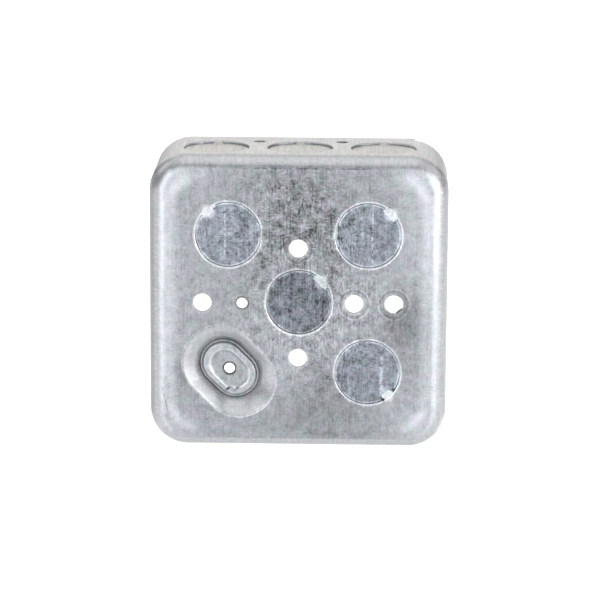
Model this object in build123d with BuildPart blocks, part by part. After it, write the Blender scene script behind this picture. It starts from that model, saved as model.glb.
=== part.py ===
from build123d import *
import os
from math import cos, radians, sin

# A 4 in. square, 1-1/2 in. deep drawn steel outlet box with its knockouts still in place.
# Frame: the outside of the back is the plane y = 0 and the open side faces +Y. +Z is up and +X is
# to the right for someone who looks at the back. The origin is the centre of the back. Millimetres.

# ---------------------------------------------------------------- driving dimensions
box_size = 101.6  # outside width and height
box_depth = 38.1  # from the back to the rim
sheet = 1.6  # thickness of the galvanised steel
corner_radius = 13.0  # upright corners, outside
back_radius = 6.2  # roll between the back and the walls, outside

knockout_radius = 11.11  # opening for 1/2 in. trade size fittings
knockout_gap = 0.11  # sheared line around each knockout
knockout_roll = 0.6  # rolled edge that the punch leaves on the outside
knockout_edge = 0.2  # roll on the knockout's own outer edge
back_pitch = 23.8  # from the centre lines to the three outer back knockouts
back_sink = 0.45  # how far a back knockout stands in from the outside
side_pitch = 28.6  # between the knockouts of one wall
side_depth = 18.6  # from the back to their centres
side_sink = 0.8
tie_width = 3.2  # the uncut tie that holds a knockout
tie_gap = 0.05

hole_radius = 3.15  # plain mounting holes
inner_pitch = 19.05  # from the centre to the inner holes
outer_pitch = 32.6  # and to the outer holes
hole_roll = 0.3
coin_radius = 5.2  # shallow dish that the punch prints around some holes
coin_depth = 0.18
coin_taper = 70  # degrees, of its edge from upright
nail_radius = 2.0
nail_pitch = 14.3  # from the wall's centre line to its nail holes
nail_depth = 29.5

ground_radius = 2.0  # 10-32 tapped holes, at the minor diameter
ground_mouth = 0.42  # their countersink
raised_ground = (-23.5, -23.9)  # the raised ground, left of and below the centre
boss_turn = -45  # degrees, the direction of its long axis

ear_screw = 42.5  # from the centre lines to the cover screws
ear_drop = 0.35  # the ear's face is this much below the rim
ear_bend = 0.8  # inside radius of its fold
ear_half_angle = 28.0  # of the fold, about the corner's axis
notch_angle = 9.0  # of the relief notch on each side of it
notch_depth = 3.6
tongue_radius = 5.5
ear_hole = 2.10
collar_radius = 3.2
collar_length = 1.5

screw_radius = 2.05  # 8-32 thread
screw_length = 9.5
screw_tip = 0.5
head_radius = 3.75
head_height = 2.9
head_dome = 2.2
slot_width = 1.1
slot_depth = 1.2
screw_lift = 2.0  # the head's underside stands this far off the ear

# The raised ground is a dish with a ridge round its pad. Every level of it is a slot: its depth,
# half of its straight run, and its radius.
dish_outside = [
    (0, 4.6, 13.1),
    (0.2, 4.5, 12.6),
    (1.1, 4.2, 11.5),
    (2.4, 3.7, 10.1),
    (3.7, 3.2, 8.95),
    (4.9, 2.9, 8.1),
]
dish_inside = [
    (1.3, 4.7, 14.3),
    (2.1, 4.3, 12.8),
    (3.3, 3.8, 11.3),
    (4.6, 3.3, 10.15),
    (5.7, 3.0, 9.4),
    (6.5, 2.9, 8.6),
]
ridge_outside = [(5.0, 2.9, 7.5), (3.5, 2.8, 6.9)]
pad_outside = [(3.4, 2.4, 5.3), (4.3, 2.2, 4.4)]
ridge_inside = [(6.6, 2.7, 6.2), (5.1, 2.6, 5.6)]
pad_inside = [(4.4, 2.2, 4.9), (5.9, 2.2, 4.2)]
ridge_depth = ridge_outside[-1][0]
ridge_round = 0.7
pad_depth = pad_outside[-1][0]

half = box_size / 2
corner_place = half - corner_radius  # the axis of each upright corner, from the centre lines
ear_face = box_depth - ear_drop
into_box = Vector(0, 1, 0)

os.makedirs("parts", exist_ok=True)


def save(piece, name):
    piece.part.label = name
    export_step(piece.part, f"parts/{name}.step")


def back_plane(depth):
    """The plane at a depth from the back: sketch x is +X and sketch y is +Z."""
    return Plane.XZ.offset(-depth)


def wall_plane(out):
    """The outside of a wall: sketch x runs along the wall and sketch y is the depth."""
    return Plane(origin=out * half, x_dir=into_box.cross(out), z_dir=out)


def radial_plane(axis, angle):
    """A plane through a corner's axis: sketch x is the distance from it and sketch y the depth."""
    along = Vector(-sin(radians(angle)), 0, cos(radians(angle)))
    return Plane(origin=axis.position, x_dir=into_box.cross(along), z_dir=along)


def on_plane(item, plane):
    """Whether the centre of an edge lies on a plane."""
    return abs(plane.to_local_coords(item.center()).Z) < 0.01


def round_edges(piece, plane, radius):
    """The round edges of one radius that lie on a plane."""
    circles = piece.edges().filter_by(GeomType.CIRCLE)
    return circles.filter_by(lambda edge: on_plane(edge, plane) and abs(edge.radius - radius) < 0.01)


# ---------------------------------------------------------------- where things are
walls = {
    "top": Vector(0, 0, 1),
    "right": Vector(1, 0, 0),
    "bottom": Vector(0, 0, -1),
    "left": Vector(-1, 0, 0),
}
side_knockouts = {
    "top": ("left", "middle", "right"),
    "right": ("upper", "middle", "lower"),
    "bottom": ("right", "middle", "left"),
    "left": ("lower", "middle", "upper"),
}
side_spots = [(-side_pitch, side_depth), (0, side_depth), (side_pitch, side_depth)]
nail_spots = [(-nail_pitch, nail_depth), (nail_pitch, nail_depth)]

# The back's knockouts: place, and the direction of the tie from its centre in degrees.
back_knockouts = {
    "upper_left": ((-back_pitch, back_pitch), 130),
    "upper_right": ((back_pitch, back_pitch), 45),
    "middle": ((0.3, 0.5), 43),
    "lower_right": ((back_pitch, -back_pitch), -49),
}
back_spots = [place for place, tie in back_knockouts.values()]
coined_spots = [(0, inner_pitch), (inner_pitch, 0), (outer_pitch, 0)]
hole_spots = coined_spots + [(0, -inner_pitch), (-outer_pitch, 0)]
flat_ground = (-inner_pitch, 0)


def slot_loft(levels, mode=Mode.ADD):
    """A solid through the raised ground's slots at these levels."""
    slots = []
    for depth, run, radius in levels:
        with BuildSketch(back_plane(depth), mode=Mode.PRIVATE) as level:
            with Locations(Location(raised_ground, boss_turn)):
                SlotCenterToCenter(2 * run, 2 * radius)
        slots.append(level.sketch)
    loft(slots, ruled=len(levels) == 2, mode=mode)


# ---------------------------------------------------------------- box shell
with BuildPart() as box_shell:
    with BuildSketch(back_plane(0)):
        RectangleRounded(box_size, box_size, corner_radius)
    extrude(amount=-box_depth)
    fillet(box_shell.faces().sort_by(Axis.Y)[0].edges(), back_radius)
    offset(amount=-sheet, openings=box_shell.faces().sort_by(Axis.Y)[-1])

    # Ears: at two opposite corners the wall is cut free by two notches and folded in.
    for sign, diagonal in ((1, 45), (-1, 225)):
        corner = (sign * corner_place, sign * corner_place)
        screw_spot = (sign * ear_screw, sign * ear_screw)
        corner_axis = Axis((corner[0], 0, corner[1]), (0, -1, 0))
        foot = box_depth - notch_depth
        with BuildSketch(radial_plane(corner_axis, diagonal - ear_half_angle - notch_angle)):
            with Locations((corner_radius, foot)):
                Rectangle(4 * sheet, 2 * notch_depth, align=(Align.CENTER, Align.MIN))
        window = 2 * (ear_half_angle + notch_angle)
        revolve(axis=corner_axis, revolution_arc=window, mode=Mode.SUBTRACT)

        fold = (corner_radius - sheet - ear_bend, ear_face - sheet - ear_bend)
        with BuildSketch(radial_plane(corner_axis, diagonal - ear_half_angle)):
            with BuildLine():
                outer = CenterArc(fold, ear_bend + sheet, 0, 90)
                inner = CenterArc(fold, ear_bend, 0, 90)
                Polyline(outer @ 0, (corner_radius, foot), (corner_radius - sheet, foot), inner @ 0)
                Polyline(outer @ 1, (tongue_radius, ear_face), (tongue_radius, ear_face - sheet), inner @ 1)
            make_face()
        revolve(axis=corner_axis, revolution_arc=2 * ear_half_angle)

        with BuildSketch(back_plane(ear_face)):
            with Locations(screw_spot):
                Circle(tongue_radius)
            with Locations(corner):
                Circle(fold[0], mode=Mode.INTERSECT)
        extrude(amount=sheet)
        with BuildSketch(back_plane(ear_face)):
            with Locations(screw_spot):
                Circle(collar_radius)
        extrude(amount=sheet + collar_length)
        with BuildSketch(back_plane(ear_face)):
            with Locations(screw_spot):
                Circle(ear_hole)
        extrude(amount=sheet + collar_length, mode=Mode.SUBTRACT)

    # The raised ground.
    slot_loft(dish_inside)
    slot_loft(dish_outside, Mode.SUBTRACT)
    slot_loft(ridge_outside)
    slot_loft(ridge_inside, Mode.SUBTRACT)
    slot_loft(pad_inside)
    slot_loft(pad_outside, Mode.SUBTRACT)
    crest = back_plane(ridge_depth)
    fillet(box_shell.edges().filter_by(lambda edge: on_plane(edge, crest)), ridge_round)

    # The holes of the back.
    with BuildSketch(back_plane(0)):
        with Locations(coined_spots):
            Circle(coin_radius)
    extrude(amount=-coin_depth, taper=coin_taper, mode=Mode.SUBTRACT)
    with BuildSketch(back_plane(0)):
        with Locations(hole_spots):
            Circle(hole_radius)
        with Locations(back_spots):
            Circle(knockout_radius)
        with Locations(flat_ground):
            Circle(ground_radius)
    extrude(amount=-2 * sheet, mode=Mode.SUBTRACT)
    with BuildSketch(back_plane(pad_depth - sheet)):
        with Locations(raised_ground):
            Circle(ground_radius)
    extrude(amount=-4 * sheet, mode=Mode.SUBTRACT)
    fillet(round_edges(box_shell, back_plane(0), knockout_radius), knockout_roll)
    fillet(round_edges(box_shell, back_plane(0), hole_radius), hole_roll)
    fillet(round_edges(box_shell, back_plane(coin_depth), hole_radius), hole_roll)
    chamfer(round_edges(box_shell, back_plane(0), ground_radius), ground_mouth)
    chamfer(round_edges(box_shell, back_plane(pad_depth), ground_radius), ground_mouth)

    # The holes of the walls.
    for out in walls.values():
        with BuildSketch(wall_plane(out)):
            with Locations(side_spots):
                Circle(knockout_radius)
            with Locations(nail_spots):
                Circle(nail_radius)
        extrude(amount=-2 * sheet, mode=Mode.SUBTRACT)
        fillet(round_edges(box_shell, wall_plane(out), knockout_radius), knockout_roll)
        fillet(round_edges(box_shell, wall_plane(out), nail_radius), hole_roll)
save(box_shell, "box_shell")


# ---------------------------------------------------------------- knockouts
def make_knockout(plane, spot, tie, sink, name):
    """A round blank in its opening, which a tie as thick as the sheet joins to the edge."""
    with BuildPart() as knockout:
        with BuildSketch(plane.offset(-sink)):
            with Locations(Location(spot, tie)):
                Circle(knockout_radius - tie_gap)
                Rectangle(2 * knockout_radius, tie_width, align=(Align.MIN, Align.CENTER), mode=Mode.INTERSECT)
                Circle(knockout_radius - knockout_gap)
        extrude(amount=-sheet)
        fillet(round_edges(knockout, plane.offset(-sink), knockout_radius - knockout_gap), knockout_edge)
    save(knockout, f"knockout_{name}")


for name, (spot, tie) in back_knockouts.items():
    make_knockout(back_plane(0), spot, tie, back_sink, f"back_{name}")
for wall, names in side_knockouts.items():
    for name, spot in zip(names, side_spots):
        make_knockout(wall_plane(walls[wall]), spot, 90, side_sink, f"{wall}_{name}")

# ---------------------------------------------------------------- cover screws
for sign, name in ((1, "cover_screw_upper_right"), (-1, "cover_screw_lower_left")):
    seat = ear_face + screw_lift
    with BuildPart() as screw:
        with BuildSketch(back_plane(seat)):
            with Locations((sign * ear_screw, sign * ear_screw)):
                Circle(head_radius)
        extrude(amount=-head_height)
        fillet(screw.edges().sort_by(Axis.Y)[-1], head_dome)
        with BuildSketch(back_plane(seat + head_height)):
            with Locations((sign * ear_screw, sign * ear_screw)):
                Rectangle(3 * head_radius, slot_width)
        extrude(amount=slot_depth, mode=Mode.SUBTRACT)
        with BuildSketch(back_plane(seat)):
            with Locations((sign * ear_screw, sign * ear_screw)):
                Circle(screw_radius)
        extrude(amount=screw_length)
        chamfer(screw.edges().sort_by(Axis.Y)[0], screw_tip)
    save(screw, name)
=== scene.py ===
import math

import bpy
from mathutils import Matrix, Vector, noise


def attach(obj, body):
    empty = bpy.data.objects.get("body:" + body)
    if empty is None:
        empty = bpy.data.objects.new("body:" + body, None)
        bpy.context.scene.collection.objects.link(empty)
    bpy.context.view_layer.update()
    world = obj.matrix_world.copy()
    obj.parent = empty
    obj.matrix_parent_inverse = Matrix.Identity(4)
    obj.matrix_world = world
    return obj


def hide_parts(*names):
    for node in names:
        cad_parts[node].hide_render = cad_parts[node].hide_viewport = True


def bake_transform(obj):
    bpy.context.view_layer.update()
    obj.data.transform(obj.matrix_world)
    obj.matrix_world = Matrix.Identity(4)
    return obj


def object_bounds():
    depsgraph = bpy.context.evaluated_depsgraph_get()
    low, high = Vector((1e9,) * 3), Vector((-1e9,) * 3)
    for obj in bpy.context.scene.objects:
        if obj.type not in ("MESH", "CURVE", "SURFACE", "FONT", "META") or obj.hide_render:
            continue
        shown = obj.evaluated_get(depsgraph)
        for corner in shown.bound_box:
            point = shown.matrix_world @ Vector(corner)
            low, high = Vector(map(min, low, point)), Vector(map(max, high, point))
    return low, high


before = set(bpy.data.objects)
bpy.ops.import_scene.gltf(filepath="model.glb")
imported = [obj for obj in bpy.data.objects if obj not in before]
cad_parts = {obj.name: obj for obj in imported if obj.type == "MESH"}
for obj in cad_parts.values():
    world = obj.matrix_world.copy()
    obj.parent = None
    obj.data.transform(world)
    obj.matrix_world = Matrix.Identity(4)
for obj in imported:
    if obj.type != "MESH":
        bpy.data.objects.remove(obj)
cad_low, cad_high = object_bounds()

MM = 0.001

# ------------------------------------------------------------------ sizes of the CAD, in mm
# The origin is the middle of the back's outside. +Y leads into the box, and +Z is up.
INTO_BOX = Vector((0, 1, 0))
SHEET = 1.6
HALF = 50.8
EAR_SCREW = 42.5
BACK_PITCH = 23.8
BACK_SINK = 0.45  # the blanks of the back are pressed in this far
SIDE_PITCH = 28.6
SIDE_DEPTH = 18.6
SIDE_SINK = 0.8
INNER_PITCH = 19.05
OUTER_PITCH = 32.6
HOLE_R = 3.15
COIN_R = 5.2
GROUND_R = 2.0
CORNER_START = 33.6  # the back's corners curve round a point this far out both ways

RAISED_GROUND = (-23.5, -23.9)
FLAT_GROUND = (-INNER_PITCH, 0)
COINED_HOLES = [(0, INNER_PITCH), (INNER_PITCH, 0), (OUTER_PITCH, 0)]
PLAIN_HOLES = [(0, -INNER_PITCH), (-OUTER_PITCH, 0)]

# each knockout of the back: its centre, its tie's angle from +X, and half the tie's width
BACK_TIES = {
    "upper_left": (-BACK_PITCH, BACK_PITCH, 130, 3.4),
    "upper_right": (BACK_PITCH, BACK_PITCH, 45, 3.2),
    "middle": (0.3, 0.5, 43, 3.6),
    "lower_right": (BACK_PITCH, -BACK_PITCH, -49, 2.5),
}
BACK_BLANKS = [tie[:2] for tie in BACK_TIES.values()]
SIDE_TIE_HALF_WIDTH = 2.2
# each wall: the way it faces, and its knockouts' names in order along it
WALLS = {
    "top": (Vector((0, 0, 1)), ("left", "middle", "right")),
    "right": (Vector((1, 0, 0)), ("upper", "middle", "lower")),
    "bottom": (Vector((0, 0, -1)), ("right", "middle", "left")),
    "left": (Vector((-1, 0, 0)), ("lower", "middle", "upper")),
}

# ------------------------------------------------------------------ camera
AZIMUTH, ELEVATION, ROLL = 1.5, 12.9, 0.3
DISTANCE = 1.05
LENS, SENSOR = 185.3, 36
AIM_RIGHT, AIM_UP = 0.7, 1.35


def make_camera():
    """A long lens at the photo's angle, aimed a little past the middle of the back."""
    a, e = math.radians(AZIMUTH), math.radians(ELEVATION)
    back = Vector((math.sin(a) * math.cos(e), -math.cos(a) * math.cos(e), math.sin(e)))
    right = Vector((0, 0, 1)).cross(back).normalized()
    up = back.cross(right)
    data = bpy.data.cameras.new("camera")
    data.lens, data.sensor_width = LENS, SENSOR
    data.clip_start, data.clip_end = 0.05, 50
    cam = bpy.data.objects.new("camera", data)
    bpy.context.scene.collection.objects.link(cam)
    cam.rotation_mode = "QUATERNION"
    turn = Matrix.Rotation(math.radians(ROLL), 3, back)
    facing = Matrix((turn @ right, turn @ up, back)).transposed()
    cam.rotation_quaternion = facing.to_quaternion()
    cam.location = back * DISTANCE + (right * AIM_RIGHT + up * AIM_UP) * MM
    bpy.context.scene.camera = cam


make_camera()

# ------------------------------------------------------------------ light, in m
WHITE = (1, 1, 1)
COOL = (0.97, 0.98, 1)
WARM = (1, 0.98, 0.95)
MIDDLE = (0, 0, 0)
ABOVE_MIDDLE = (0, 0, 0.02)


def area_light(name, place, aim, size, radiance, colour):
    """A rectangular softbox; its power is worked out from the brightness it should have."""
    data = bpy.data.lights.new(name, "AREA")
    data.shape = "RECTANGLE"
    data.size, data.size_y = size
    data.energy = radiance * math.pi * size[0] * size[1]
    data.color = colour
    lamp = bpy.data.objects.new(name, data)
    bpy.context.scene.collection.objects.link(lamp)
    lamp.location = place
    lamp.visible_camera = False
    lamp.rotation_mode = "QUATERNION"
    lamp.rotation_quaternion = (Vector(aim) - Vector(place)).to_track_quat("-Z", "Y")


bpy.context.scene.view_settings.view_transform = "Standard"
world = bpy.data.worlds.new("studio")
bpy.context.scene.world = world
world.use_nodes = True
background = world.node_tree.nodes["Background"]
background.inputs["Color"].default_value = (0.98, 0.99, 1.0, 1)
background.inputs["Strength"].default_value = 0.46

area_light("softbox_left", (-0.34, -0.52, 0.14), ABOVE_MIDDLE, (0.36, 0.50), 2.3, WHITE)
area_light("softbox_right", (0.56, -0.40, 0.14), ABOVE_MIDDLE, (0.44, 0.50), 3.7, WHITE)
area_light("softbox_front", (0, -1.2, 0.52), MIDDLE, (1.6, 0.6), 1.35, COOL)
area_light("softbox_top", (0, -0.1, 0.9), (0, -0.1, 0), (0.9, 1.2), 1.15, WHITE)
area_light("softbox_behind", (0, 1.3, 0.72), MIDDLE, (1.8, 1.2), 0.90, WARM)
area_light("softbox_upper_left", (-0.75, 0.1, 0.65), MIDDLE, (0.55, 0.55), 1.1, WHITE)
area_light("softbox_upper_right", (0.75, 0.1, 0.65), MIDDLE, (0.55, 0.55), 1.1, WHITE)

# ------------------------------------------------------------------ floor
FLOOR_HALF = 4
FLOOR_GREY = 0.6
FLOOR_GLOW = 0.78  # makes the floor as white as the photo's background


def make_floor():
    """A plain pale floor at the level of the box's lowest point."""
    low, high, z = -FLOOR_HALF, FLOOR_HALF, cad_low.z
    mesh = bpy.data.meshes.new("floor")
    mesh.from_pydata([(low, low, z), (high, low, z), (high, high, z), (low, high, z)], [], [(0, 1, 2, 3)])
    floor = bpy.data.objects.new("floor", mesh)
    bpy.context.scene.collection.objects.link(floor)
    material = bpy.data.materials.new("floor")
    material.use_nodes = True
    shader = material.node_tree.nodes["Principled BSDF"]
    shader.inputs["Base Color"].default_value = (FLOOR_GREY, FLOOR_GREY, FLOOR_GREY, 1)
    shader.inputs["Roughness"].default_value = 0.9
    shader.inputs["Emission Color"].default_value = (1, 1, 1, 1)
    shader.inputs["Emission Strength"].default_value = FLOOR_GLOW
    floor.data.materials.append(material)


make_floor()


# ------------------------------------------------------------------ materials
class Nodes:
    """Short calls that build a material's node tree; each returns an output socket.

    A mask is a value that is 1 where something is and 0 elsewhere. x, y and z are in mm. nx, ny and nz
    are the sizes of the normal's parts, so they don't tell opposite faces apart.
    """

    def __init__(self, name):
        self.material = bpy.data.materials.new(name)
        self.material.use_nodes = True
        self.tree = self.material.node_tree
        self.shader = self.tree.nodes["Principled BSDF"]
        coordinates = self.tree.nodes.new("ShaderNodeTexCoord")
        self.place = self.vector("SCALE", coordinates.outputs["Object"], scale=1 / MM)
        self.x, self.y, self.z = self.split(self.place)
        self.nx, self.ny, self.nz = (self.size(part) for part in self.split(coordinates.outputs["Normal"]))

    def feed(self, socket, value):
        if isinstance(value, bpy.types.NodeSocket):
            self.tree.links.new(value, socket)
        elif value is not None:
            socket.default_value = value

    def math(self, operation, a, b=None):
        node = self.tree.nodes.new("ShaderNodeMath")
        node.operation = operation
        self.feed(node.inputs[0], a)
        self.feed(node.inputs[1], b)
        return node.outputs[0]

    def add(self, total, *others):
        for other in others:
            total = self.math("ADD", total, other)
        return total

    def times(self, product, *others):
        for other in others:
            product = self.math("MULTIPLY", product, other)
        return product

    def minus(self, a, b):
        return self.math("SUBTRACT", a, b)

    def larger(self, a, b):
        return self.math("MAXIMUM", a, b)

    def smaller(self, a, b):
        return self.math("MINIMUM", a, b)

    def size(self, value):
        return self.math("ABSOLUTE", value)

    def weighted(self, *pairs):
        """The sum of values, each times its weight."""
        return self.add(*(self.times(value, weight) for value, weight in pairs))

    def raised(self, level, amount, *masks):
        """level with amount added where the masks are."""
        return self.add(level, self.times(*masks, amount))

    def scaled(self, level, amount, *masks):
        """level changed by amount of itself where the masks are."""
        return self.times(level, self.add(1.0, self.times(*masks, amount)))

    def vector(self, operation, a, b=None, scale=None):
        node = self.tree.nodes.new("ShaderNodeVectorMath")
        node.operation = operation
        self.feed(node.inputs[0], a)
        self.feed(node.inputs[1], b)
        self.feed(node.inputs[3], scale)
        return node.outputs["Value" if operation == "LENGTH" else "Vector"]

    def split(self, vector):
        node = self.tree.nodes.new("ShaderNodeSeparateXYZ")
        self.feed(node.inputs[0], vector)
        return node.outputs

    def join(self, x=0.0, y=0.0, z=0.0):
        node = self.tree.nodes.new("ShaderNodeCombineXYZ")
        for socket, value in zip(node.inputs, (x, y, z)):
            self.feed(socket, value)
        return node.outputs[0]

    def noise(self, scale, detail=2.0, rough=0.5, stretch=(1, 1, 1), shift=(0, 0, 0)):
        """Noise about nought, whose cells are 1/scale mm, longer where stretch is below 1."""
        node = self.tree.nodes.new("ShaderNodeTexNoise")
        node.inputs["Scale"].default_value = scale
        node.inputs["Detail"].default_value = detail
        node.inputs["Roughness"].default_value = rough
        placed = self.vector("MULTIPLY", self.place, stretch)
        self.feed(node.inputs["Vector"], self.vector("ADD", placed, shift))
        return self.minus(node.outputs["Fac"], 0.5)

    def ramp(self, value, low, high, to_low=0.0, to_high=1.0):
        """A smooth step of value, from to_low at low to to_high at high."""
        node = self.tree.nodes.new("ShaderNodeMapRange")
        node.interpolation_type = "SMOOTHSTEP"
        for socket, number in zip(node.inputs, (value, low, high, to_low, to_high)):
            self.feed(socket, number)
        return node.outputs[0]

    def band(self, value, middle, width):
        """A mask that is 1 where value is middle, and falls to 0 at width on either side."""
        return self.ramp(self.size(self.minus(value, middle)), width, 0.0)

    def spot(self, x, z, size_x, size_z):
        """A mask that is 1 at (x, z), and falls to 0 at an oval of those half sizes round it."""
        u = self.times(self.minus(self.x, x), 1 / size_x)
        v = self.times(self.minus(self.z, z), 1 / size_z)
        return self.ramp(self.vector("LENGTH", self.join(u, v)), 1.0, 0.0)

    def away(self, x, z):
        """Distance in mm from (x, z), over the back."""
        return self.vector("LENGTH", self.join(self.minus(self.x, x), self.minus(self.z, z)))

    def nearest(self, places):
        """Distance in mm from the nearest of some places on the back."""
        first, *others = (self.away(x, z) for x, z in places)
        for other in others:
            first = self.smaller(first, other)
        return first

    def mix(self, factor, a, b, blend="MIX"):
        node = self.tree.nodes.new("ShaderNodeMix")
        node.data_type, node.blend_type = "RGBA", blend
        self.feed(node.inputs["Factor"], factor)
        self.feed(node.inputs[6], a)
        self.feed(node.inputs[7], b)
        return node.outputs[2]

    def tint(self, colour, by):
        return self.mix(1.0, colour, by, "MULTIPLY")

    def bump(self, height, strength, distance):
        node = self.tree.nodes.new("ShaderNodeBump")
        node.inputs["Strength"].default_value = strength
        node.inputs["Distance"].default_value = distance
        self.feed(node.inputs["Height"], height)
        return node.outputs[0]


class Sheet(Nodes):
    """The nodes of zinc-coated sheet: masks for the box's faces, and the noises that they share."""

    def __init__(self, name):
        super().__init__(name)
        self.back = self.ramp(self.y, 3.0, 1.5)  # the sheet of the back, and nothing deeper in
        self.flat = self.ramp(self.ny, 0.84, 0.93)  # faces square to Y
        self.rolled = self.minus(1.0, self.flat)
        self.wall = self.ramp(self.ny, 0.5, 0.2)  # faces along Y
        self.wide, self.tall = self.size(self.x), self.size(self.z)
        past_x = self.larger(self.minus(self.wide, CORNER_START), 0.0)
        past_z = self.larger(self.minus(self.tall, CORNER_START), 0.0)
        self.margin = self.vector("LENGTH", self.join(past_x, past_z))
        self.corners = self.times(*(self.ramp(reach, CORNER_START, 38) for reach in (self.wide, self.tall)))
        self.medium = self.noise(0.30, 3, 0.6, shift=(7, 3, 1))
        self.small = self.noise(1.1, 3, 0.65, shift=(2, 9, 4))
        self.fine = self.noise(3.4, 2, 0.6, shift=(1, 1, 8))


def slot_distance(n, run):
    """Distance in mm from the spine of the raised ground, a line of half length run down to the right."""
    along = math.sqrt(0.5)
    u, v = n.minus(n.x, RAISED_GROUND[0]), n.minus(n.z, RAISED_GROUND[1])
    reach = n.times(n.minus(u, v), along)
    reach = n.smaller(n.larger(reach, -run), run)
    return n.vector("LENGTH", n.join(n.minus(u, n.times(reach, along)), n.add(v, n.times(reach, along))))


def tie_places(radius):
    """Where each tie of the back is, at a radius from its knockout's centre."""
    for x, z, tie, _ in BACK_TIES.values():
        yield x + radius * math.cos(math.radians(tie)), z + radius * math.sin(math.radians(tie))


def scratch(n, x, z, length, width, turn=0.0):
    """A broken line on the back, centred on (x, z); turn is in degrees from upright."""
    c, s = math.cos(math.radians(turn)), math.sin(math.radians(turn))
    u, v = n.minus(n.x, x), n.minus(n.z, z)
    onward = n.add(n.times(u, s), n.times(v, c))
    aside = n.minus(n.times(u, c), n.times(v, s))
    aside = n.raised(aside, 0.7, n.noise(0.35, 1, shift=(3, 3, 3)))
    line = n.ramp(n.size(aside), width, width * 0.3)
    ends = n.ramp(n.size(onward), length / 2, length / 2 - 2)
    breaks = n.ramp(n.noise(0.9, 2, shift=(8, 1, 2)), -0.12, 0.05)
    return n.times(line, ends, breaks)


def drawn_grain(n):
    """Short streaks, upright in patches of the back, level in others, and lengthwise on the walls."""
    upright = n.noise(1.6, 3, 0.66, stretch=(1, 0.2, 0.28))
    across = n.noise(1.8, 3, 0.68, stretch=(0.3, 0.2, 1), shift=(5, 5, 5))
    long_upright = n.noise(1.6, 3, 0.6, stretch=(1, 0.1, 0.04), shift=(3, 8, 2))
    lengthwise = n.noise(1.5, 4, 0.65, stretch=(1, 0.06, 1), shift=(9, 2, 5))
    patch = n.ramp(n.noise(0.13, 2, 0.5, shift=(11, 4, 6)), -0.10, 0.07)
    turned = n.larger(n.minus(1.0, patch), n.ramp(n.nx, 0.25, 0.6))
    grain = n.weighted((upright, n.minus(1.0, turned)), (across, turned), (long_upright, 0.45))
    return n.weighted((grain, n.minus(1.0, n.wall)), (lengthwise, n.wall))


def mottle(n, grain, calm):
    """Patchy zinc about nought: strongest above the back's middle, calm at its edges, faint on the rolls."""
    worn = n.larger(n.spot(0, 24, 34, 34), n.times(n.spot(4, 0, 40, 46), 0.8))
    busy = n.ramp(worn, 0.0, 0.7, calm, 1.4)
    large = n.noise(0.06, 2, 0.5)
    on_flat = n.weighted((large, 0.35), (n.medium, 1.25), (n.small, 0.95), (n.fine, 0.55), (grain, 1.2))
    grain_on_roll = n.ramp(n.wall, 0, 1, 0.8, 1.15)
    on_roll = n.weighted((n.medium, 0.25), (n.small, 0.2), (n.fine, 0.3), (grain, grain_on_roll))
    return n.weighted((n.times(on_flat, busy), n.flat), (on_roll, n.rolled))


# darker and paler areas of the back, painted reflections and shade: x, z, half sizes, amount
PAINTED_BACK_LIGHT_AREAS = [
    (-3, 27, 26, 24, -0.22),
    (-2, 12, 40, 34, -0.10),
    (2, 40, 36, 12, -0.22),
    (10, -34, 28, 22, -0.22),
    (35, -7, 15, 18, -0.32),
    (42, 30, 13, 36, 0.28),
    (38, -40, 16, 15, 0.20),
    (-5, -27, 15, 12, 0.14),
    (9, 26, 11, 22, -0.16),
]


def painted_back_light(n):
    """Painted reflections and shade: the back is darkest above its middle, and palest at the right and the
    lower right.
    """
    shade = n.weighted(*((n.spot(*area), amount) for *area, amount in PAINTED_BACK_LIGHT_AREAS))
    # painted highlight: the sheet begins to curve before the rolls, so its sides and corners are painted
    # paler
    shade = n.raised(shade, 0.42, n.ramp(n.margin, 6, 10.5), n.ramp(n.wide, 28, 42))
    # a painted highlight crescent round each corner, with painted shade outside it
    crescent = n.weighted((n.band(n.margin, 9.9, 3.0), 0.24), (n.ramp(n.margin, 11.0, 12.8), -0.14))
    return n.raised(shade, crescent, n.corners)


# scratches down the blanks of the back: x, z, length, width, amount
BLANK_SCRATCHES = [
    (-24.9, 24.5, 19, 0.4, 0.75),
    (25.1, 23.5, 21, 0.35, 0.75),
    (21.7, 25, 15, 1.1, 0.34),
    (28.6, -24.5, 15, 0.9, 0.75),
]


def knockout_marks_and_highlights(n, level):
    """A darker blank in the middle, scratches, a painted highlight on the rim, and a painted highlight beside
    each tie.
    """
    level = n.times(level, n.ramp(n.away(0, 0), 10, 14, 0.70, 1.0))
    for x, z, length, width, amount in BLANK_SCRATCHES:
        level = n.raised(level, amount, scratch(n, x, z, length, width))
    # painted highlight on each back blank's rim
    level = n.scaled(level, 0.75, n.ramp(n.nearest(BACK_BLANKS), 10.3, 10.65), n.back)
    # painted highlight beside each tie
    return n.raised(level, 0.6, n.ramp(n.nearest(tie_places(9.6)), 2.4, 1.0), n.back)


def painted_tie_highlight(n, level):
    """The stretched ties of the back keep their pale base colour as a painted highlight, and the walls' are
    made as dull as the walls.
    """
    return n.times(level, n.ramp(n.back, 0, 1, 0.40, 1.0))


def painted_opening_light(n, level):
    """Painted highlights on the openings' edges and the metal beside their ties, and painted shade at the
    ground holes' edges.
    """
    level = n.scaled(level, 0.80, n.band(n.nearest(BACK_BLANKS), 11.55, 0.6), n.back)
    level = n.raised(level, 0.5, n.ramp(n.nearest(tie_places(11.6)), 2.0, 0.8), n.back)
    level = n.times(level, n.ramp(n.away(*RAISED_GROUND), GROUND_R + 0.6, GROUND_R + 0.3, 1.0, 0.35))
    return n.times(level, n.ramp(n.away(*FLAT_GROUND), GROUND_R + 0.6, GROUND_R + 0.4, 1.0, 0.75))


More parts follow.
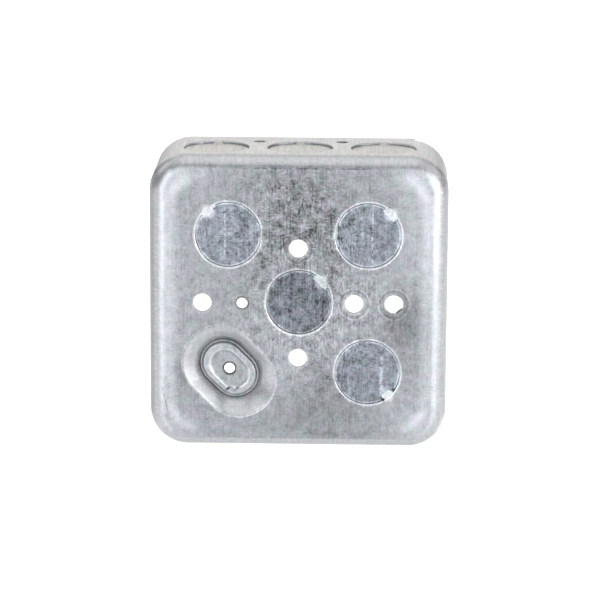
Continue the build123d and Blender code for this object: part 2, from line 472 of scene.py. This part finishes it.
def painted_punch_light(n, level):
    """Painted highlight at the coined rings' edge and painted shade inside it, and painted shade at each
    hole's edge with a painted highlight round it.
    """
    rings = n.nearest(COINED_HOLES)
    level = n.scaled(level, 0.35, n.band(rings, COIN_R + 0.15, 0.35), n.back)
    level = n.scaled(level, -0.22, n.band(rings, COIN_R - 0.6, 0.7), n.back)
    holes = n.nearest(COINED_HOLES + PLAIN_HOLES)
    level = n.times(level, n.ramp(holes, HOLE_R + 0.05, HOLE_R - 0.05, 1.0, 0.45))
    return n.scaled(level, 0.30, n.band(holes, HOLE_R + 0.30, 0.35), n.back)


def painted_ground_relief(n, level):
    """Painted light and shade on the raised ground: a pale edge and slope, a dark groove, and a pale ridge
    round a darker pad.
    """
    edge, slope, groove = slot_distance(n, 4.6), slot_distance(n, 4.2), slot_distance(n, 2.9)
    ridge, crest, pad = slot_distance(n, 2.7), slot_distance(n, 2.4), slot_distance(n, 2.3)
    relief_light = n.weighted(
        (n.band(edge, 12.9, 0.5), 0.30),
        (n.ramp(edge, 13.1, 12.7), 0.12),
        (n.band(slope, 11.4, 1.6), 0.12),
        (n.band(groove, 8.4, 1.7), -0.20),
        (n.band(groove, 8.1, 0.42), -0.62),
        (n.ramp(ridge, 7.2, 6.7), 0.12),
        (n.band(crest, 5.1, 0.6), 0.5),
        (n.ramp(pad, 4.6, 4.2), -0.19),
        # painted shade left of the raised ground
        (n.spot(-37.5, -24.5, 7, 10), -0.30),
    )
    return n.scaled(level, relief_light, n.ramp(n.y, 8, 7))


# the crumpled end of the ground's ridge, in painted shade and highlight, as short strokes: x, z, turn, amount
CRINKLES = [
    (-24.0, -30.8, 55, -0.9),
    (-22.5, -31.1, -60, -0.9),
    (-21.0, -31.0, 50, -0.9),
    (-22.6, -32.2, 80, 0.35),
]


def scuffs_and_crinkle_shade(n, level):
    """A broken line where the top roll begins, the crinkles in painted shade and highlight, a wrinkle in
    painted shade, and the die's line at the corners.
    """
    top_middle = n.times(n.ramp(n.z, 40, 44), n.ramp(n.size(n.minus(n.x, 2)), 24, 20))
    broken = n.ramp(n.noise(0.45, 3), -0.06, 0.06)
    level = n.scaled(level, -0.45, n.band(n.nz, 0.33, 0.08), broken, top_middle)
    for x, z, turn, amount in CRINKLES:
        # painted shade and highlight of the crinkles
        level = n.scaled(level, amount, scratch(n, x, z, 4.0, 0.6, turn))
    # painted shade of a wrinkle
    level = n.scaled(level, -0.45, scratch(n, -45.4, -34, 11, 0.28, -11))
    corner = n.ramp(n.size(n.times(n.nx, n.nz)), 0.15, 0.3)
    return n.scaled(level, -0.35, n.band(n.y, 6.6, 0.4), corner)


def shell_marks_and_light(n, level):
    for marks in (painted_opening_light, painted_punch_light, painted_ground_relief, scuffs_and_crinkle_shade):
        level = marks(n, level)
    return level


def specks(n, level):
    """Small dark stains and bright nicks."""
    stains = n.ramp(n.noise(0.8, 2, shift=(4, 7, 7)), 0.15, 0.25)
    nicks = n.ramp(n.noise(1.6, 2, stretch=(1, 1, 0.5), shift=(6, 2, 9)), 0.16, 0.26)
    return n.raised(n.raised(level, -0.22, stains), 0.35, nicks)


def painted_roll_light(n, level):
    """The rolls and walls are paler than the back, partly from the die's polish and partly as painted light,
    with painted highlights and shade at places on them.
    """
    level = n.raised(level, 0.22, n.ramp(n.ny, 0.90, 0.82))
    # painted shade where the top roll begins
    level = n.raised(level, -0.10, n.ramp(n.ny, 0.98, 0.92), n.ramp(n.ny, 0.72, 0.84), n.ramp(n.z, 38, 42))
    # painted highlight on the rolls at the corners
    corner_roll_highlight = n.times(n.band(n.ny, 0.42, 0.30), n.ramp(n.nz, 0.08, 0.25), n.ramp(n.nz, 0.6, 0.4))
    level = n.scaled(level, 0.40, corner_roll_highlight, n.corners)
    # painted highlight where the bottom roll begins
    level = n.raised(level, 0.06, n.ramp(n.ny, 0.985, 0.95), n.ramp(n.z, -38, -42))
    # painted highlight where the side rolls begin
    side_roll_highlight = n.times(n.ramp(n.nx, 0.08, 0.25), n.ramp(n.wide, 42, 44))
    level = n.raised(level, 0.26, n.ramp(n.ny, 0.82, 0.95), side_roll_highlight)
    # painted shade on the left wall
    left_wall_shade = n.times(n.ramp(n.x, -45, -49), n.ramp(n.nx, 0.6, 0.85))
    level = n.times(level, n.ramp(left_wall_shade, 0, 1, 1.0, 0.72))
    return n.raised(level, 0.08, n.ramp(n.nz, 0.6, 0.9), n.wall)


SHADED_TEARS = [(32.7, -29.8), (29.2, -33.3)]  # small tears beside the lower right tie, painted dark as shade
DARKEST = 0.16
NO_TINT = (1, 1, 1, 1)


def galvanised(name, marks, base, contrast, calm, wall_tint):
    """Zinc-coated sheet of a base colour, whose level of brightness the marks and painted light and shade
    change from place to place.
    """
    n = Sheet(name)
    grain = drawn_grain(n)
    level = n.raised(1.0, contrast, mottle(n, grain, calm))
    # painted reflections and shade on the flat back
    level = n.raised(level, painted_back_light(n), n.flat, n.back)
    # painted shade: the flat faces are 12% darker than the rolls
    level = n.times(level, n.ramp(n.flat, 0, 1, 1.0, 0.88))
    level = painted_roll_light(n, specks(n, marks(n, level)))
    # painted shade in the tears
    level = n.scaled(level, -0.8, n.ramp(n.nearest(SHADED_TEARS), 0.85, 0.35), n.back)
    level = n.larger(level, DARKEST)

    drift = n.ramp(n.noise(0.2, 3, 0.6, shift=(20, 4, 2)), -0.12, 0.12)
    colour = n.tint(base, n.mix(drift, (0.94, 1.0, 1.0, 1), (1.0, 0.985, 1.04, 1)))
    colour = n.tint(colour, n.mix(n.flat, (1.015, 1.0, 0.975, 1), NO_TINT))
    colour = n.tint(colour, n.mix(n.wall, NO_TINT, wall_tint))
    n.feed(n.shader.inputs["Base Color"], n.tint(colour, n.join(level, level, level)))
    n.shader.inputs["Metallic"].default_value = 1.0
    rough = n.add(0.45, n.weighted((n.medium, 0.3), (n.small, 0.3), (n.rolled, -0.07)))
    n.feed(n.shader.inputs["Roughness"], rough)
    height = n.weighted((n.small, 0.6), (n.fine, 0.35), (grain, 0.9))
    n.feed(n.shader.inputs["Normal"], n.bump(height, 0.4, 0.00005))
    return n.material


def zinc_plate():
    """Bright zinc plate with a fine grain, for the screws."""
    n = Nodes("zinc_screw")
    shade = n.ramp(n.noise(0.8, 3), -0.2, 0.2)
    n.feed(n.shader.inputs["Base Color"], n.mix(shade, (0.60, 0.62, 0.64, 1), (0.74, 0.73, 0.70, 1)))
    n.shader.inputs["Metallic"].default_value = 1.0
    n.feed(n.shader.inputs["Roughness"], n.raised(0.30, 0.3, n.noise(1.5, 3)))
    n.feed(n.shader.inputs["Normal"], n.bump(n.noise(4, 2), 0.3, 0.00003))
    return n.material


BLANK_WALL_TINT = (1.20, 1.10, 0.95, 1)
SHELL_WALL_TINT = (1.05, 1.03, 0.99, 1)
shell_metal = galvanised("galvanised_box", shell_marks_and_light, (0.336, 0.341, 0.352, 1), 1.1, 0.65, SHELL_WALL_TINT)
knockout_metal = galvanised(
    "galvanised_knockout", knockout_marks_and_highlights, (0.264, 0.281, 0.311, 1), 1.4, 0.95, BLANK_WALL_TINT
)
# the ties' pale base colour is a painted highlight
tie_metal = galvanised("galvanised_tie", painted_tie_highlight, (0.60, 0.61, 0.62, 1), 0.6, 0.95, BLANK_WALL_TINT)
screw_metal = zinc_plate()

for name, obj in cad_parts.items():
    for s in obj.material_slots:
        s.material = shell_metal if name == "box_shell" else knockout_metal


# ------------------------------------------------------------------ pieces, in mm
def clamp01(value):
    return min(max(value, 0.0), 1.0)


def smooth(value):
    value = clamp01(value)
    return value * value * (3 - 2 * value)


def bumps(*place):
    return noise.noise(Vector(place))


def mesh_object(name, points, faces):
    mesh = bpy.data.meshes.new(name)
    mesh.from_pydata([Vector(p) * MM for p in points], [], faces)
    made = bpy.data.objects.new(name, mesh)
    bpy.context.scene.collection.objects.link(made)
    return made


def make_piece(name, points, faces, material):
    """A mesh piece, shaded smooth but for its sharp edges."""
    piece = mesh_object(name, points, faces)
    piece.data.validate()
    piece.data.polygons.foreach_set("use_smooth", [True] * len(piece.data.polygons))
    piece.data.set_sharp_from_angle(angle=math.radians(40))
    piece.data.materials.append(material)
    return piece


def grid_faces(rows, columns, start=0, loop=False, turn=False):
    """Quads between neighbouring rows of points; loop joins the last column to the first."""
    faces = []
    for i in range(rows - 1):
        for j in range(columns if loop else columns - 1):
            k = (j + 1) % columns
            a, b = start + i * columns, start + (i + 1) * columns
            quad = (a + j, a + k, b + k, b + j)
            faces.append(quad[::-1] if turn else quad)
    return faces


def border(rows, columns):
    """The points round a grid, in order."""
    top = list(range(columns))
    right = [i * columns + columns - 1 for i in range(1, rows)]
    bottom = [(rows - 1) * columns + j for j in range(columns - 2, -1, -1)]
    left = [i * columns for i in range(rows - 2, 0, -1)]
    return top + right + bottom + left


def closed_slab(front, back, rows, columns):
    """Points and faces of a slab between two grids of the same size."""
    size = rows * columns
    faces = grid_faces(rows, columns) + grid_faces(rows, columns, size, turn=True)
    edge = border(rows, columns)
    for a, b in zip(edge, edge[1:] + edge[:1]):
        faces.append((b, a, a + size, b + size))
    return front + back, faces


# ------------------------------------------------------------------ ties of the knockouts
TIE_ROWS, TIE_COLUMNS = 26, 30
TIE_OUTER_R, TIE_INNER_R = 12.1, 8.9  # the strip's ends, on both sides of the sheared line
TIE_UNDER_OUTSIDE, TIE_UNDER_INSIDE = 0.004, 0.006  # keeps the strip's faces just inside the sheet's


def make_tie(name, centre, into, radial, sink, half_width, seed):
    """The strip of uncut metal that holds a knockout, from the edge of the opening down to the blank."""
    across = into.cross(radial)
    front, back = [], []
    for i in range(TIE_ROWS):
        r = TIE_OUTER_R + (TIE_INNER_R - TIE_OUTER_R) * i / (TIE_ROWS - 1)
        for j in range(TIE_COLUMNS):
            s = half_width * (2 * j / (TIE_COLUMNS - 1) - 1)
            lumps = bumps(r * 0.9, s * 0.9, seed) + 0.5 * bumps(r * 2.3, s * 2.3, seed)
            middle = smooth((11.7 - r) / 0.8) * smooth((r - 9.2) / 0.8)
            torn = smooth((abs(s) - half_width + 0.9 - 0.5 * bumps(r, seed, s)) / 0.8)
            down = smooth((11.75 - r) / (2.7 + 0.6 * bumps(s * 0.6, seed, 0)))
            outside = TIE_UNDER_OUTSIDE + (sink + 0.012) * down + (0.22 * lumps - 0.05) * middle
            outside = max(outside, TIE_UNDER_OUTSIDE) + 0.7 * torn
            inside = SHEET - TIE_UNDER_INSIDE + sink * smooth((12.0 - r) / 1.1)
            inside += (0.06 + 0.05 * lumps) * smooth((12.0 - r) / 0.6) * smooth((r - 9.4) / 1.2) * (1 - torn)
            place = centre + radial * r + across * s
            front.append(place + into * outside)
            back.append(place + into * inside)
    points, faces = closed_slab(front, back, TIE_ROWS, TIE_COLUMNS)
    piece = make_piece("tie_" + name, points, faces, tie_metal)
    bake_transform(piece)


for number, (name, (x, z, tie, half_width)) in enumerate(BACK_TIES.items()):
    angle = math.radians(tie)
    radial = Vector((math.cos(angle), 0, math.sin(angle)))
    make_tie("back_" + name, Vector((x, 0, z)), INTO_BOX, radial, BACK_SINK, half_width, number + 1.5)
for number, (wall, (out, names)) in enumerate(WALLS.items()):
    along = INTO_BOX.cross(out)
    for i, name in enumerate(names):
        centre = out * HALF + along * SIDE_PITCH * (i - 1) + INTO_BOX * SIDE_DEPTH
        seed = 10.5 + number * 3 + i
        make_tie(f"{wall}_{name}", centre, -out, INTO_BOX, SIDE_SINK, SIDE_TIE_HALF_WIDTH, seed)

# ------------------------------------------------------------------ cover screws
SCREW_TIP, SCREW_SEAT, SCREW_TOP = 30.25, 39.75, 42.65
HEAD_R, HEAD_DOME, HEAD_BEVEL = 3.75, 2.2, 0.06
SLOT_WIDTH, SLOT_DEPTH, SLOT_TURN = 1.1, 1.2, 24
THREAD_R, THREAD_ROOT, PITCH = 2.02, 1.56, 0.794
NECK_R, NECK_LENGTH = 1.75, 0.7
AXIS_R = 0.02  # the rings that close a turned shape stop just short of its axis
SCREW_COLUMNS, SHANK_ROWS, DOME_ROWS = 72, 130, 12


def thread_wave(turns):
    """0 in a thread's root and 1 on its crest, with a flat on each."""
    phase = turns % 1.0
    return clamp01((abs(2 * phase - 1) - 0.12) / 0.72)


def lathe(profile, columns, centre, shape=None):
    """Rings of points round the +Y axis at centre, one for each (radius, depth)."""
    points = []
    for radius, depth in profile:
        for j in range(columns):
            angle = 2 * math.pi * j / columns
            r = shape(radius, depth, angle) if shape else radius
            points.append(Vector((centre[0] + r * math.cos(angle), depth, centre[1] + r * math.sin(angle))))
    return points


def shank_radius(radius, depth, angle):
    """The threaded shank where radius is None: a pointed tip, and a plain neck under the head."""
    if radius is not None:
        return radius
    wave = thread_wave((depth - SCREW_TIP) / PITCH - angle / (2 * math.pi))
    crest = THREAD_ROOT + (THREAD_R - THREAD_ROOT) * wave
    tip = THREAD_ROOT - 0.2 + 1.1 * (depth - SCREW_TIP)
    neck = smooth((SCREW_SEAT - depth) / NECK_LENGTH)
    return min(tip, NECK_R + (crest - NECK_R) * neck)


def screw_profile():
    """Radius and depth of each ring, from the tip to the top of the dome."""
    profile = [(AXIS_R, SCREW_TIP)]
    for i in range(SHANK_ROWS):
        profile.append((None, SCREW_TIP + (SCREW_SEAT - SCREW_TIP) * i / (SHANK_ROWS - 1)))
    profile.append((HEAD_R - 0.25, SCREW_SEAT))
    profile.append((HEAD_R - HEAD_BEVEL, SCREW_SEAT + HEAD_BEVEL))
    profile.append((HEAD_R, SCREW_SEAT + 0.22))
    for i in range(DOME_ROWS):
        angle = math.radians(90) * i / (DOME_ROWS - 1)
        flat_r = HEAD_R - HEAD_DOME
        profile.append((flat_r + HEAD_DOME * math.cos(angle), SCREW_TOP - HEAD_DOME * (1 - math.sin(angle))))
    profile.append((AXIS_R, SCREW_TOP))
    return profile


def cut_slot(screw, x, z):
    """Cuts the driver's slot across the head."""
    turn = Matrix.Rotation(math.radians(SLOT_TURN), 3, "Y")
    corners = []
    for depth in (SCREW_TOP - SLOT_DEPTH, SCREW_TOP + 1):
        for a, b in ((-1, -1), (1, -1), (1, 1), (-1, 1)):
            corners.append(turn @ Vector((a * 2 * HEAD_R, 0, b * SLOT_WIDTH / 2)) + Vector((x, depth, z)))
    sides = [(0, 1, 2, 3), (7, 6, 5, 4), (0, 4, 5, 1), (1, 5, 6, 2), (2, 6, 7, 3), (3, 7, 4, 0)]
    cutter = mesh_object("slot", corners, sides)
    slotted = screw.modifiers.new("slot", "BOOLEAN")
    slotted.operation, slotted.object, slotted.solver = "DIFFERENCE", cutter, "EXACT"
    bpy.context.view_layer.update()
    screw.data = bpy.data.meshes.new_from_object(screw.evaluated_get(bpy.context.evaluated_depsgraph_get()))
    screw.modifiers.clear()
    screw.data.set_sharp_from_angle(angle=math.radians(30))
    bpy.data.objects.remove(cutter)


def make_screw(node, x, z):
    """An 8-32 screw with a domed, slotted head, which stands for the plain one of the CAD."""
    profile = screw_profile()
    points = lathe(profile, SCREW_COLUMNS, (x, z), shank_radius)
    faces = grid_faces(len(profile), SCREW_COLUMNS, loop=True)
    faces.append(tuple(range(SCREW_COLUMNS)))
    faces.append(tuple(range((len(profile) - 1) * SCREW_COLUMNS, len(profile) * SCREW_COLUMNS))[::-1])
    screw = make_piece(node + "_threaded", points, faces, screw_metal)
    cut_slot(screw, x, z)
    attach(screw, node)
    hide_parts(node)


make_screw("cover_screw_upper_right", EAR_SCREW, EAR_SCREW)
make_screw("cover_screw_lower_left", -EAR_SCREW, -EAR_SCREW)

# ------------------------------------------------------------------ threads of the ground holes
TAP_CREST, TAP_WALL = 0.14, 0.05
TAP_HIDDEN = 0.02  # the thread's ends are sunk this far into the hole's wall
TAP_COLUMNS, TAP_ROWS = 48, 34


def make_tapped(name, x, z, first, last):
    """A thin sleeve with a thread inside, set into a tapped hole between two depths."""

    def cut(radius, depth, angle):
        ends = smooth((depth - first) / 0.1) * smooth((last - depth) / 0.1)
        wave = thread_wave((depth - first) / PITCH - angle / (2 * math.pi))
        return radius + TAP_HIDDEN - (TAP_CREST * wave + TAP_HIDDEN) * ends

    inner = [(GROUND_R, first + (last - first) * i / (TAP_ROWS - 1)) for i in range(TAP_ROWS)]
    outer = [(GROUND_R + TAP_WALL, last), (GROUND_R + TAP_WALL, first)]
    points = lathe(inner, TAP_COLUMNS, (x, z), cut) + lathe(outer, TAP_COLUMNS, (x, z))
    faces = grid_faces(TAP_ROWS + 2, TAP_COLUMNS, loop=True, turn=True)
    last_ring = (TAP_ROWS + 1) * TAP_COLUMNS
    for j in range(TAP_COLUMNS):
        k = (j + 1) % TAP_COLUMNS
        faces.append((j, k, last_ring + k, last_ring + j))
    piece = make_piece(name, points, faces, shell_metal)
    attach(piece, "box")


make_tapped("thread_raised_ground", *RAISED_GROUND, 4.55, 5.75)
make_tapped("thread_flat_ground", *FLAT_GROUND, 0.25, 1.45)

# ------------------------------------------------------------------ burr in the outer right hole
BURR_ROWS, BURR_COLUMNS = 34, 8
BURR_ROOT_R = HOLE_R + 0.07  # sunk a little into the hole's wall
BURR_FROM, BURR_SPAN = -80, 56  # degrees round the hole


def make_burr():
    """The jagged lip that the punch left in one hole."""
    front, back = [], []
    for i in range(BURR_ROWS):
        t = i / (BURR_ROWS - 1)
        angle = math.radians(BURR_FROM + BURR_SPAN * t)
        jag = 0.22 * bumps(t * 9, 2, 0) + 0.12 * bumps(t * 23, 5, 0)
        reach = (0.08 + 0.50 * math.sin(math.pi * t) ** 0.8) * (1 + jag)
        for j in range(BURR_COLUMNS):
            u = j / (BURR_COLUMNS - 1)
            r = BURR_ROOT_R - reach * u
            depth = 0.55 + 0.9 * u ** 2.5 + 0.10 * bumps(t * 7, u * 3, 1)
            place = Vector((OUTER_PITCH + r * math.cos(angle), depth, r * math.sin(angle)))
            front.append(place)
            back.append(place + INTO_BOX * (0.20 - 0.12 * u))
    points, faces = closed_slab(front, back, BURR_ROWS, BURR_COLUMNS)
    piece = make_piece("burr_right_hole", points, faces, shell_metal)
    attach(piece, "box")


make_burr()
